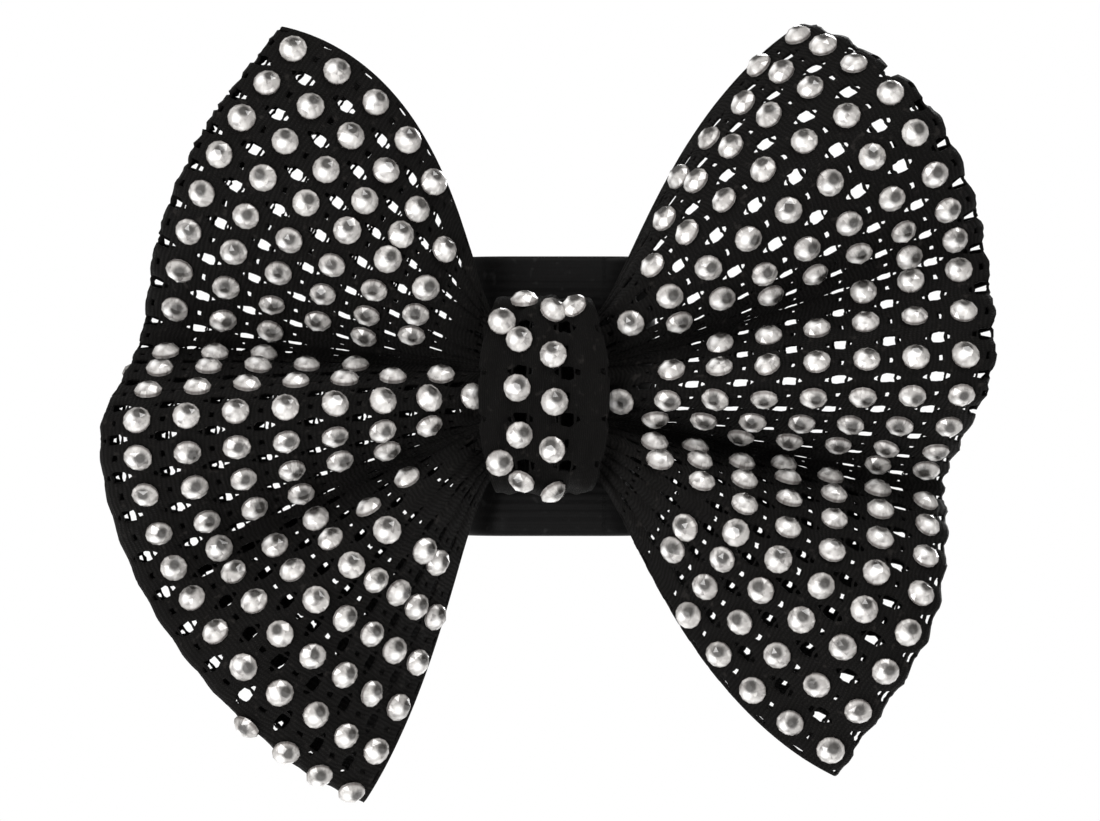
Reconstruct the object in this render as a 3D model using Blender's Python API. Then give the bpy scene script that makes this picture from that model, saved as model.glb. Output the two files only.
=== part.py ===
"""A net hair bow set with crystals, on a wide elastic cuff.

The bow stands upright as it is worn: +Z up, +X to the right of someone who faces it, and the
crystals face -Y. The origin is the middle of the cuff's opening, where the ponytail goes through.
Lengths in the tables and sizes are millimetres, and MM turns them into metres.
"""

import math

import bmesh
import bpy
import numpy as np

MM = 0.001

# The net strip: crystals stand in rows along the strip, and the rows are numbered from its top edge.
ROWS = 24
LOOP_WALL = 1.0  # net and set crystals together
LOOP_HALF_GAP = 3.0  # half the space between a loop's front and back
FOLD_ROUND = 0.13  # share of the way to the waist over which the outer fold opens
BOW_MID_Y = -15.4  # the loops' middle plane

# The waist, off centre by WAIST_X, and the hinge lines where the loops bend at it.
WAIST_X = -2.0
NECK_OUT = 4.6  # from the waist's middle to where a loop's net begins
HINGE_OUT = 6.2
MOUTH_OUT = 7.0  # how far each row runs straight out of the wrap before it fans
NECK_FROM = 0.82  # share of the way to the waist by which the pleats are drawn in
NECK_DEPTH_SHARE = 0.13  # how much of a pleat's depth is left there
NECK_GAP_SHARE = 0.36  # how much of the loop's gap is left there
PLEAT_SWELL = 0.2  # how much deeper a pleat is part way to the waist than at the fold
PLEAT_SWELL_END = 0.8  # share of the way to the waist by which that is gone
BOW_PULL = 0.8  # how far a bowed row also swings towards the waist

# One line per fold of each loop: row number, then the outer end's x and z, its depth (minus is
# forward), how far the row bows up off the straight line, and its height at the waist.
LEFT_FOLDS = (
    (0.5, -39.8, 52.8, -2.0, 15.0, 9.2),
    (4.0, -51.5, 35.9, -7.0, 2.6, 8.8),
    (6.5, -57.2, 22.5, -1.0, 0.5, 6.6),
    (9.0, -60.0, 8.8, 8.0, 0.5, 4.0),
    (11.0, -61.8, 3.4, 1.0, 0.5, 2.6),
    (13.0, -64.6, -4.1, -9.0, 0.8, 0.0),
    (15.0, -64.0, -14.6, -4.5, 0.0, -2.4),
    (17.0, -60.2, -26.6, 3.5, -0.5, -3.6),
    (20.0, -48.8, -42.0, -5.0, -0.4, -5.6),
    (22.5, -37.0, -53.2, 1.0, -1.2, -8.4),
    (24.5, -28.0, -58.6, 8.0, -3.5, -9.6),
)
RIGHT_FOLDS = (
    (0.5, 35.5, 53.9, 8.0, 7.5, 9.6),
    (2.5, 43.0, 50.0, 0.5, 7.5, 9.2),
    (4.5, 52.4, 41.8, -6.5, 3.5, 9.2),
    (6.5, 58.4, 31.0, -1.5, 0.0, 6.6),
    (8.5, 61.3, 21.6, 5.0, 0.0, 4.4),
    (11.5, 61.6, 3.0, -6.5, 0.0, 1.2),
    (13.5, 58.0, -6.0, 1.5, 0.0, -1.4),
    (15.5, 55.8, -12.0, 10.0, -0.5, -3.4),
    (18.0, 55.6, -19.6, 0.5, -1.0, -4.6),
    (20.5, 53.2, -32.0, -8.5, -1.2, -6.2),
    (24.5, 39.8, -54.5, -1.0, -9.0, -9.6),
)

# The centre wrap: a band of net round the waist.
WRAP_WALL = 1.0
WRAP_HALF_HEIGHT = 14.0
WRAP_HALF_DEPTH = 7.4
WRAP_HALF_WIDTH_FRONT = 9.3
WRAP_HALF_WIDTH_END = 5.4  # at its top and bottom, where it is pulled in
WRAP_SQUARENESS = 2.6  # 2 is an ellipse, more is squarer
WRAP_CROWN = 0.35  # how much higher its middle is than its edges

# The gathered net inside the wrap, half its size each way, and the thread wound round it.
GATHER_HALF = (2.6, 4.5, 10.9)
FURROWS = 9
FURROW = 0.04  # share of the gather's size
THREAD = 0.8
THREAD_TURNS = 3
THREAD_CLEAR = 0.55  # between the thread and the gather, over the furrows
THREAD_HALF_RUN = 1.4  # how far along X the turns spread each way

# Crystals: flat-backed, with a flat table on a sloping rim. Radius and height of each ring.
CRYSTAL_RINGS = ((2.0, 0.0), (2.0, 0.3), (1.48, 1.08), (0.85, 1.5))
CRYSTAL_SIDES = 10
CRYSTAL_PITCH = 6.7
CRYSTAL_RISE = 0.45  # gap between the wrap and a crystal's flat back
# Columns on the wrap: distance from the waist's middle, first crystal's place round the wrap, count.
WRAP_COLUMNS = ((-7.0, -9.6, 1), (-7.0, 10.8, 1), (-3.7, -12.2, 5), (1.4, -14.2, 5), (5.6, 13.2, 1))

# The elastic cuff: flat in front and behind, with round ends.
CUFF_HEIGHT = 40.4
CUFF_HALF_WIDTH = 14.2
CUFF_DEPTH = 14.4
CUFF_WALL = 1.4
CUFF_STRETCH_GAP = 0.3
SEAM_LAP = (8.0, 0.9, 38.0)  # the lapped end that is sewn inside the back run
STITCH = 0.6
STITCH_LINES = (-2.4, 2.4)
STITCH_ZIGZAG = 0.7
STITCH_HALF_RUN = 17.0
TACK_LENGTH = 4.6
TACK_PLACES = (-4.0, 4.0)  # from the waist's middle
TACK_HEIGHTS = (-9.0, 9.0)
GAP = 0.3  # left between pieces that touch

NET_BLACK = (0.012, 0.011, 0.012)
SATIN_BLACK = (0.010, 0.010, 0.011)
THREAD_BLACK = (0.020, 0.019, 0.020)
CRYSTAL_SILVER = (0.80, 0.77, 0.74)


def clear_scene():
    for obj in list(bpy.data.objects):
        bpy.data.objects.remove(obj)


def material(name, colour, roughness, metallic):
    made = bpy.data.materials.new(name)
    made.use_nodes = True
    shader = made.node_tree.nodes["Principled BSDF"]
    shader.inputs["Base Color"].default_value = (*colour, 1.0)
    shader.inputs["Roughness"].default_value = roughness
    shader.inputs["Metallic"].default_value = metallic
    return made


def add_object(name, data, finish, place=(0.0, 0.0, 0.0), parent=None):
    """Adds the object with its origin at place, in metres; data is modelled about that origin."""
    obj = bpy.data.objects.new(name, data)
    obj.location = place
    data.materials.append(finish)
    bpy.context.scene.collection.objects.link(obj)
    if parent is not None:
        obj.parent = parent
        obj.location = [a - b for a, b in zip(place, parent.location)]
    return obj


def add_pivot(name, place):
    pivot = bpy.data.objects.new(name, None)
    pivot.location = place
    pivot.empty_display_size = 0.01
    bpy.context.scene.collection.objects.link(pivot)
    return pivot


def smooth_through(folds, column, rows):
    """A smooth curve through one column of a fold table, read at these row numbers."""
    table = np.array(folds)
    at, value = table[:, 0], table[:, column]
    slope = np.gradient(value, at)
    piece = np.clip(np.searchsorted(at, rows) - 1, 0, len(at) - 2)
    width = at[piece + 1] - at[piece]
    u = (rows - at[piece]) / width
    return (
        (2 * u**3 - 3 * u**2 + 1) * value[piece]
        + (u**3 - 2 * u**2 + u) * width * slope[piece]
        + (3 * u**2 - 2 * u**3) * value[piece + 1]
        + (u**3 - u**2) * width * slope[piece + 1]
    )


def loop_surface(folds, side, rows, inward):
    """Points of a loop's net, in millimetres: rows down the grid, inward from -1 (front, at the
    waist) through 0 (the outer fold) to 1 (back, at the waist).

    Each row runs from the outer fold to the waist as a cubic curve, whose depth is its pleat's
    depth, drawn in towards the waist, with half the loop's gap to the front or the back.
    """
    rows, inward = np.meshgrid(rows, inward, indexing="ij")
    share = np.abs(inward)
    edge = [smooth_through(folds, column, rows) for column in (1, 2)]
    depth, bow, waist_z = (smooth_through(folds, column, rows) for column in (3, 4, 5))
    neck = (WAIST_X + side * NECK_OUT, waist_z)
    mouth = (neck[0] + side * MOUTH_OUT, waist_z)
    middle = [(a + b) / 2 for a, b in zip(edge, neck)]
    middle[0] = middle[0] - side * np.abs(bow) * BOW_PULL
    middle[1] = middle[1] + bow
    weights = ((1 - share) ** 3, 3 * share * (1 - share) ** 2, 3 * share**2 * (1 - share), share**3)
    x, z = (
        sum(w * p for w, p in zip(weights, (edge[k], middle[k], mouth[k], neck[k])))
        for k in (0, 1)
    )
    opening = np.minimum(share / FOLD_ROUND, 1.0)
    nearing = np.clip(share / NECK_FROM, 0.0, 1.0) ** 2
    opening = np.sqrt(opening * (2 - opening)) * (1 - (1 - NECK_GAP_SHARE) * nearing)
    swell = 1 + PLEAT_SWELL * np.sin(math.pi * np.minimum(share / PLEAT_SWELL_END, 1.0)) ** 2
    pleat = depth * swell * (1 - (1 - NECK_DEPTH_SHARE) * nearing)
    y = BOW_MID_Y + pleat + np.sign(inward) * LOOP_HALF_GAP * opening
    return np.stack([x, y, z], axis=-1)


def grid_mesh(name, points, origin):
    """A mesh of quads through a grid of points in millimetres, about an origin in metres."""
    count_a, count_b = points.shape[:2]
    index = np.arange(count_a * count_b).reshape(count_a, count_b)
    quads = np.stack(
        [index[:-1, :-1], index[1:, :-1], index[1:, 1:], index[:-1, 1:]], axis=-1
    ).reshape(-1, 4)
    mesh = bpy.data.meshes.new(name)
    mesh.from_pydata((points.reshape(-1, 3) * MM - origin).tolist(), [], quads.tolist())
    return mesh


def add_loop(name, folds, side, finish):
    """One loop as a thin hollow shell: its net's middle surface, thickened both ways."""
    pivot = add_pivot(name + "_hinge", hinge_place(side))
    rows = np.linspace(0.5, ROWS + 0.5, 2 * ROWS + 1)
    half = np.linspace(0.0, 1.0, 11) ** 1.6
    inward = np.concatenate([-half[::-1], half[1:]])
    points = loop_surface(folds, side, rows, inward)
    mesh = grid_mesh(name, points, np.array(hinge_place(side)))
    loop = add_object(name, mesh, finish, hinge_place(side), pivot)
    wall = loop.modifiers.new("wall", "SOLIDIFY")
    wall.thickness = LOOP_WALL * MM
    wall.offset = 0.0
    return loop


def hinge_place(side):
    return ((WAIST_X + side * HINGE_OUT) * MM, BOW_MID_Y * MM, 0.0)


def superellipse(half_depth, half_height, angle):
    """The outline round the waist: angle 0 is the front, and a quarter turn is the top."""
    power = 2 / WRAP_SQUARENESS
    c, s = np.cos(angle), np.sin(angle)
    y = -half_depth * np.sign(c) * np.abs(c) ** power
    z = half_height * np.sign(s) * np.abs(s) ** power
    return y, z


def add_centre_wrap(finish):
    """The wrap as a band whose width eases from WRAP_HALF_WIDTH_FRONT to WRAP_HALF_WIDTH_END."""
    angle = np.linspace(0.0, 2 * math.pi, 48, endpoint=False)
    across = np.linspace(-1.0, 1.0, 7)
    pull = np.abs(np.sin(angle)) ** 2
    half_width = WRAP_HALF_WIDTH_FRONT + (WRAP_HALF_WIDTH_END - WRAP_HALF_WIDTH_FRONT) * pull
    crown = WRAP_CROWN * (1 - across**2)
    rings = []
    for inset in (0.0, WRAP_WALL):
        for k in range(len(across)) if inset == 0 else reversed(range(len(across))):
            grow = crown[k] - inset
            y, z = superellipse(WRAP_HALF_DEPTH + grow, WRAP_HALF_HEIGHT + grow, angle)
            rings.append(np.stack([WAIST_X + across[k] * half_width, y + BOW_MID_Y, z], axis=-1))
    points = np.stack(rings)
    points = np.concatenate([points, points[:1]], axis=0)
    points = np.concatenate([points, points[:, :1]], axis=1)
    mesh = grid_mesh("centre_wrap", points, np.zeros(3))
    weld_and_face_out(mesh)
    return add_object("centre_wrap", mesh, finish)


def weld_and_face_out(mesh):
    work = bmesh.new()
    work.from_mesh(mesh)
    bmesh.ops.remove_doubles(work, verts=work.verts, dist=1e-6)
    bmesh.ops.recalc_face_normals(work, faces=work.faces)
    work.to_mesh(mesh)
    work.free()


def add_waist_gather(finish):
    """The bunched net: a bar of rounded section, lightly furrowed along X."""
    angle = np.linspace(0.0, 2 * math.pi, 36, endpoint=False)
    furrow = 1 - FURROW * np.cos(FURROWS * angle)
    y, z = superellipse(GATHER_HALF[1], GATHER_HALF[2], angle)
    work = bmesh.new()
    rings = []
    for x in np.linspace(-GATHER_HALF[0], GATHER_HALF[0], 3):
        ring = [
            work.verts.new(((WAIST_X + x) * MM, (BOW_MID_Y + a * f) * MM, b * f * MM))
            for a, b, f in zip(y, z, furrow)
        ]
        rings.append(ring)
    for near, far in zip(rings, rings[1:]):
        for k, vert in enumerate(near):
            after = (k + 1) % len(near)
            work.faces.new((vert, near[after], far[after], far[k]))
    work.faces.new(rings[0])
    work.faces.new(rings[-1])
    bmesh.ops.recalc_face_normals(work, faces=work.faces)
    mesh = bpy.data.meshes.new("waist_gather")
    work.to_mesh(mesh)
    work.free()
    return add_object("waist_gather", mesh, finish)


def add_tube(name, points, diameter, finish, closed=False):
    """A round tube through points in millimetres."""
    curve = bpy.data.curves.new(name, "CURVE")
    curve.dimensions = "3D"
    curve.bevel_depth = diameter / 2 * MM
    curve.bevel_resolution = 1
    curve.use_fill_caps = True
    spline = curve.splines.new("POLY")
    spline.points.add(len(points) - 1)
    for point, place in zip(spline.points, points):
        point.co = (*(np.array(place) * MM), 1.0)
    spline.use_cyclic_u = closed
    return add_object(name, curve, finish)


def add_gathering_thread(finish):
    """Thread wound THREAD_TURNS times round the gather, just clear of it."""
    angle = np.linspace(0.0, 2 * math.pi * THREAD_TURNS, 28 * THREAD_TURNS)
    clear = THREAD_CLEAR + THREAD / 2
    y, z = superellipse(GATHER_HALF[1] + clear, GATHER_HALF[2] + clear, angle)
    x = WAIST_X + np.linspace(-THREAD_HALF_RUN, THREAD_HALF_RUN, len(angle))
    add_tube("gathering_thread", np.stack([x, y + BOW_MID_Y, z], axis=-1), THREAD, finish)


def crystal_mesh():
    """A flat-backed crystal that stands on the XY plane and looks along +Z."""
    work = bmesh.new()
    rings = []
    for radius, height in CRYSTAL_RINGS:
        turn = [2 * math.pi * k / CRYSTAL_SIDES for k in range(CRYSTAL_SIDES)]
        rings.append(
            [
                work.verts.new((radius * math.cos(a) * MM, radius * math.sin(a) * MM, height * MM))
                for a in turn
            ]
        )
    for low, high in zip(rings, rings[1:]):
        for k in range(CRYSTAL_SIDES):
            after = (k + 1) % CRYSTAL_SIDES
            work.faces.new((low[k], low[after], high[after], high[k]))
    work.faces.new(rings[-1])
    work.faces.new(rings[0][::-1])
    bmesh.ops.recalc_face_normals(work, faces=work.faces)
    mesh = bpy.data.meshes.new("crystal")
    work.to_mesh(mesh)
    work.free()
    return mesh


def add_wrap_crystals(finish):
    """Crystals in columns round the front of the wrap, each standing square on its net."""
    angle = np.linspace(-math.pi, math.pi, 721)
    y, z = superellipse(WRAP_HALF_DEPTH, WRAP_HALF_HEIGHT, angle)
    length = np.concatenate([[0.0], np.cumsum(np.hypot(np.diff(y), np.diff(z)))])
    length -= np.interp(0.0, angle, length)
    shape = crystal_mesh()
    number = 0
    for column_x, first, count in WRAP_COLUMNS:
        rise = WRAP_CROWN * (1 - (column_x / WRAP_HALF_WIDTH_FRONT) ** 2) + CRYSTAL_RISE
        for k in range(count):
            number += 1
            at = np.interp(first + k * CRYSTAL_PITCH, length, angle)
            ahead, behind = at + 0.01, at - 0.01
            (ya, yb), (za, zb) = superellipse(
                WRAP_HALF_DEPTH, WRAP_HALF_HEIGHT, np.array([ahead, behind])
            )
            out = np.array([0.0, -(za - zb), ya - yb])
            out /= np.linalg.norm(out)
            here_y, here_z = superellipse(WRAP_HALF_DEPTH, WRAP_HALF_HEIGHT, np.array([at]))
            place = np.array([WAIST_X + column_x, here_y[0] + BOW_MID_Y, here_z[0]]) + out * rise
            copy = shape.copy()
            crystal = add_object(f"wrap_crystal_{number:02d}", copy, finish, tuple(place * MM))
            crystal.rotation_euler = (math.atan2(-out[1], out[2]), 0.0, 0.0)
    bpy.data.meshes.remove(shape)


def cuff_outline(half_width, half_depth, ends, steps=10):
    """Half of the cuff's plan, from x = -side to x = +side, for ends -1 (front) or 1 (back)."""
    radius = half_depth
    straight = half_width - radius
    turn = np.linspace(0.0, math.pi / 2, steps)
    left = np.stack([-straight - radius * np.cos(turn), ends * radius * np.sin(turn)], axis=-1)
    right = left[::-1] * (-1, 1)
    return np.concatenate([left, right])


def add_cuff_run(name, ends, finish, parent=None):
    """The front or back half of the cuff: a flat run with half of each round end."""
    outer = cuff_outline(CUFF_HALF_WIDTH, CUFF_DEPTH / 2, ends)
    inner = cuff_outline(CUFF_HALF_WIDTH - CUFF_WALL, CUFF_DEPTH / 2 - CUFF_WALL, ends)
    plan = np.concatenate([outer, inner[::-1]])
    plan[:, 1] = ends * np.maximum(ends * plan[:, 1], CUFF_STRETCH_GAP / 2)
    work = bmesh.new()
    base = [work.verts.new((x * MM, y * MM, -CUFF_HEIGHT / 2 * MM)) for x, y in plan]
    face = work.faces.new(base)
    raised = bmesh.ops.extrude_face_region(work, geom=[face])["geom"]
    tops = [item for item in raised if isinstance(item, bmesh.types.BMVert)]
    bmesh.ops.translate(work, verts=tops, vec=(0.0, 0.0, CUFF_HEIGHT * MM))
    bmesh.ops.recalc_face_normals(work, faces=work.faces)
    mesh = bpy.data.meshes.new(name)
    work.to_mesh(mesh)
    work.free()
    return add_object(name, mesh, finish, parent=parent)


def add_box(name, size, centre, finish):
    work = bmesh.new()
    bmesh.ops.create_cube(work, size=1.0)
    bmesh.ops.scale(work, verts=work.verts, vec=[side * MM for side in size])
    mesh = bpy.data.meshes.new(name)
    work.to_mesh(mesh)
    work.free()
    return add_object(name, mesh, finish, tuple(c * MM for c in centre))


def add_cuff_seam(lap_finish, thread_finish):
    """The elastic's lapped end inside the back run, and the two zigzag lines that sew it."""
    lap_y = CUFF_DEPTH / 2 - CUFF_WALL - GAP - SEAM_LAP[1] / 2
    add_box("cuff_seam_overlap", SEAM_LAP, (0.0, lap_y, 0.0), lap_finish)
    stitch_y = lap_y - SEAM_LAP[1] / 2 - GAP - STITCH / 2
    height = np.linspace(-STITCH_HALF_RUN, STITCH_HALF_RUN, 18)
    for name, x in zip(("left", "right"), STITCH_LINES):
        zigzag = x + STITCH_ZIGZAG * (-1.0) ** np.arange(len(height))
        points = np.stack([zigzag, np.full(len(height), stitch_y), height], axis=-1)
        add_tube(f"cuff_seam_stitch_{name}", points, STITCH, thread_finish)


def add_cuff_tacks(finish):
    """Four stitches inside the cuff's front run that hold it to the wrap behind it."""
    y = -CUFF_DEPTH / 2 + CUFF_WALL + GAP + STITCH / 2
    number = 0
    for z in TACK_HEIGHTS:
        for x in TACK_PLACES:
            number += 1
            run = np.linspace(-TACK_LENGTH / 2, TACK_LENGTH / 2, 3)
            points = np.stack([WAIST_X + x + run, np.full(3, y), np.full(3, z)], axis=-1)
            add_tube(f"cuff_tack_{number}", points, STITCH, finish)


def build():
    clear_scene()
    net = material("net", NET_BLACK, 0.6, 0.0)
    satin = material("satin elastic", SATIN_BLACK, 0.45, 0.0)
    thread = material("thread", THREAD_BLACK, 0.6, 0.0)
    crystal = material("crystal", CRYSTAL_SILVER, 0.12, 0.6)
    add_loop("left_loop", LEFT_FOLDS, -1, net)
    add_loop("right_loop", RIGHT_FOLDS, 1, net)
    add_waist_gather(net)
    add_gathering_thread(thread)
    add_centre_wrap(net)
    add_wrap_crystals(crystal)
    add_cuff_run("cuff_front_run", -1, satin)
    add_cuff_run("cuff_back_run", 1, satin)
    add_cuff_seam(satin, thread)
    add_cuff_tacks(thread)


build()
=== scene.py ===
"""A net hair bow set with crystals, on a wide elastic cuff, in the order in which it is put together."""

import math

import bpy
import numpy as np
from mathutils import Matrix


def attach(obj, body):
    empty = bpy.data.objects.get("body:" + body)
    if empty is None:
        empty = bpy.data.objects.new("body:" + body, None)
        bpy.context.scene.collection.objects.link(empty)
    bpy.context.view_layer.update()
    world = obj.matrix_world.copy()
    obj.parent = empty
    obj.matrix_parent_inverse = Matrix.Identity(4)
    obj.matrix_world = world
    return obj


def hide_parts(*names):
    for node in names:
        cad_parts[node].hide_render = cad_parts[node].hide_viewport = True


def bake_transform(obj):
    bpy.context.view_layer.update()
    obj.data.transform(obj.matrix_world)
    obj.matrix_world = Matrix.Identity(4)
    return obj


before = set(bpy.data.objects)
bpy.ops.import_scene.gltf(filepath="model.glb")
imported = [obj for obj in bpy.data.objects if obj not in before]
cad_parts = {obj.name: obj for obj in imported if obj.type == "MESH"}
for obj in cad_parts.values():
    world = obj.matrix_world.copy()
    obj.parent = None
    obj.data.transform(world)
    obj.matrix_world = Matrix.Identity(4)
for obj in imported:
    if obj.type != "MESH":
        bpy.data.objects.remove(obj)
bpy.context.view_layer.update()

# ---- The net of the two loops --------------------------------------------------------------------
# Knitted nylon net, black, with a crystal stuck at every corner of its square cells. One strip makes
# both loops: each wing is folded over at its outer end, pleated, and drawn in at the waist.

MM = 0.001
ROWS = 24
COLUMN_PITCH = 7.0
ROW_PITCH = 6.2
NET_THICK = 0.38
LOOP_HALF_GAP = 3.0  # half the air between a loop's front and its back
FOLD_ROUND = 0.13  # share of the way to the waist over which the outer fold opens
BOW_MID_Y = -15.4  # the bow's middle plane, in front of the cuff
WAIST_X = -2.0  # the waist's middle, a little to the left of the cuff's
NECK_OUT = 4.6  # from the waist's middle to where a loop's net begins
MOUTH_OUT = 7.0  # how far each row runs straight out of the wrap before it fans
NECK_FROM = 0.82  # share of the way to the waist by which a loop is fully drawn in
NECK_DEPTH_SHARE = 0.13  # what is left of a pleat's depth there
NECK_GAP_SHARE = 0.36  # what is left of the air between front and back there
PLEAT_SWELL = 0.2  # how much deeper a pleat is part way to the waist than at the fold
PLEAT_SWELL_END = 0.8
BOW_PULL = 0.8  # how far a bowed row also swings towards the waist
SCALLOP = {-1: 0.12, 1: 0.28}  # how far each fold stands out at a row's crystal
SCALLOP_REACH = 0.05
PUCKER = 0.16  # the net dips this much between crystals
GATHER_FURROW = 0.55  # and this much more at the waist, where it is gathered

# One line per fold of each loop: row number, then the outer end's x and z, its depth (minus is
# forward), how far the row bows up off the straight line, and its height at the waist.
LEFT_FOLDS = (
    (0.5, -39.8, 52.8, -2.0, 15.0, 9.2),
    (4.0, -51.5, 35.9, -7.0, 2.6, 8.8),
    (6.5, -57.2, 22.5, -1.0, 0.5, 6.6),
    (9.0, -60.0, 8.8, 8.0, 0.5, 4.0),
    (11.0, -61.8, 3.4, 1.0, 0.5, 2.6),
    (13.0, -64.6, -4.1, -9.0, 0.8, 0.0),
    (15.0, -64.0, -14.6, -4.5, 0.0, -2.4),
    (17.0, -60.2, -26.6, 3.5, -0.5, -3.6),
    (20.0, -48.8, -42.0, -5.0, -0.4, -5.6),
    (22.5, -37.0, -53.2, 1.0, -1.2, -8.4),
    (24.5, -28.0, -58.6, 8.0, -3.5, -9.6),
)
RIGHT_FOLDS = (
    (0.5, 35.5, 53.9, 8.0, 7.5, 9.6),
    (2.5, 43.0, 50.0, 0.5, 7.5, 9.2),
    (4.5, 52.4, 41.8, -6.5, 3.5, 9.2),
    (6.5, 58.4, 31.0, -1.5, 0.0, 6.6),
    (8.5, 61.3, 21.6, 5.0, 0.0, 4.4),
    (11.5, 61.6, 3.0, -6.5, 0.0, 1.2),
    (13.5, 58.0, -6.0, 1.5, 0.0, -1.4),
    (15.5, 55.8, -12.0, 10.0, -0.5, -3.4),
    (18.0, 55.6, -19.6, 0.5, -1.0, -4.6),
    (20.5, 53.2, -32.0, -8.5, -1.2, -6.2),
    (24.5, 39.8, -54.5, -1.0, -9.0, -9.6),
)

# Where each loop is creased: row number, then 1 for a crest, -1 for a valley, 0 for a plain edge.
LEFT_CREASES = ((0.5, 0), (4.0, 1), (9.0, -1), (13.0, 1), (17.0, -1), (20.0, 1), (24.5, 0))
RIGHT_CREASES = ((0.5, -1), (4.5, 1), (8.5, -1), (11.5, 1), (15.5, -1), (20.5, 1), (24.5, 0))
CREST_SPREAD = 4.0  # most by which rows stand apart at a crest when the net is drawn in
VALLEY_SHARE = 0.15  # how evenly the rows of a valley still lie there

# The net's cell, as shares of the way from one crystal to the next: half the size of the square hole
# in its middle, the thread beside that, the small hole beyond the thread, and the hole between two
# crystals of one row.
HOLE_HALF = 0.145
THREAD_WIDE = 0.045
SIDE_HOLE = (0.085, 0.08)
ROW_HOLE = (0.045, 0.085)
SIDE_FROM = HOLE_HALF + THREAD_WIDE
SIDE_TO = SIDE_FROM + SIDE_HOLE[0]
# The lines of the net's grid, from a cell's middle out: the holes' edges and one line more each way.
ALONG_FROM_MIDDLE = (ROW_HOLE[0], HOLE_HALF, SIDE_FROM, SIDE_TO, 0.43)
ACROSS_FROM_MIDDLE = (SIDE_HOLE[1], HOLE_HALF, 0.27, 0.5 - ROW_HOLE[1])
CELL_ALONG = (0.0, *(0.5 - x for x in ALONG_FROM_MIDDLE[::-1]), *(0.5 + x for x in ALONG_FROM_MIDDLE))
CELL_ACROSS = (
    0.0, *(0.5 - x for x in ACROSS_FROM_MIDDLE[::-1]), 0.5, *(0.5 + x for x in ACROSS_FROM_MIDDLE)
)
# Each hole as how far it reaches from the cell's middle: along from, to, across from, to.
CELL_HOLES = (
    (0.0, HOLE_HALF, 0.0, HOLE_HALF),
    (SIDE_FROM, SIDE_TO, 0.0, SIDE_HOLE[1]),
    (0.0, ROW_HOLE[0], 0.5 - ROW_HOLE[1], 0.5),
)
FOLD_THREAD = 0.6  # the thread along the outer fold, to each side of it
CORNER_PULL = 0.10  # how far a hole's corners round in
SIDE_PULL = 0.5  # how far a small hole's outer end closes in
CELL_JITTER = 0.011
LINE_CLEAR = 0.02


def smooth_through(folds, column, rows):
    """A smooth curve through one column of a fold table, read at these row numbers: a cubic between
    each two lines, whose slopes are those of the table."""
    table = np.array(folds)
    at, value = table[:, 0], table[:, column]
    slope = np.gradient(value, at)
    piece = np.clip(np.searchsorted(at, rows) - 1, 0, len(at) - 2)
    width = at[piece + 1] - at[piece]
    u = (rows - at[piece]) / width
    return (
        (2 * u**3 - 3 * u**2 + 1) * value[piece]
        + (u**3 - 2 * u**2 + u) * width * slope[piece]
        + (3 * u**2 - 2 * u**3) * value[piece + 1]
        + (u**3 - u**2) * width * slope[piece + 1]
    )


def smooth_step(low, high, value):
    """Eases from 0 at low to 1 at high."""
    u = np.clip((value - low) / (high - low), 0.0, 1.0)
    return u * u * (3 - 2 * u)


def loop_points(folds, side, rows, inward):
    """Points of a loop's net in millimetres: inward runs from -1 (back, at the waist) through 0
    (the outer fold) to 1 (front, at the waist).

    Each row is a cubic curve from the fold to the waist. Its depth is its pleat's depth, drawn in
    towards the waist, with half the loop's gap to the front or the back, and the fold stands out
    as a cosine of the row number.
    """
    share = np.abs(inward)
    edge = [smooth_through(folds, column, rows) for column in (1, 2)]
    depth, bow, waist_z = (smooth_through(folds, column, rows) for column in (3, 4, 5))
    neck = (WAIST_X + side * NECK_OUT, waist_z)
    mouth = (neck[0] + side * MOUTH_OUT, waist_z)
    middle = [(a + b) / 2 for a, b in zip(edge, neck)]
    middle[0] = middle[0] - side * np.abs(bow) * BOW_PULL
    middle[1] = middle[1] + bow
    reach = np.hypot(edge[0] - neck[0], edge[1] - neck[1])
    scallop = SCALLOP[side] * np.cos(2 * math.pi * rows) * np.exp(-((share / SCALLOP_REACH) ** 2))
    weights = ((1 - share) ** 3, 3 * share * (1 - share) ** 2, 3 * share**2 * (1 - share), share**3)
    x, z = (
        sum(w * p for w, p in zip(weights, (edge[k], middle[k], mouth[k], neck[k])))
        + scallop * (edge[k] - neck[k]) / reach
        for k in (0, 1)
    )
    opening = np.minimum(share / FOLD_ROUND, 1.0)
    nearing = np.clip(share / NECK_FROM, 0.0, 1.0) ** 2
    opening = np.sqrt(opening * (2 - opening)) * (1 - (1 - NECK_GAP_SHARE) * nearing)
    swell = 1 + PLEAT_SWELL * np.sin(math.pi * np.minimum(share / PLEAT_SWELL_END, 1.0)) ** 2
    pleat = depth * swell * (1 - (1 - NECK_DEPTH_SHARE) * nearing)
    y = BOW_MID_Y + pleat - np.sign(inward) * LOOP_HALF_GAP * opening
    return np.stack([x, y, z], axis=-1)


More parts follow.
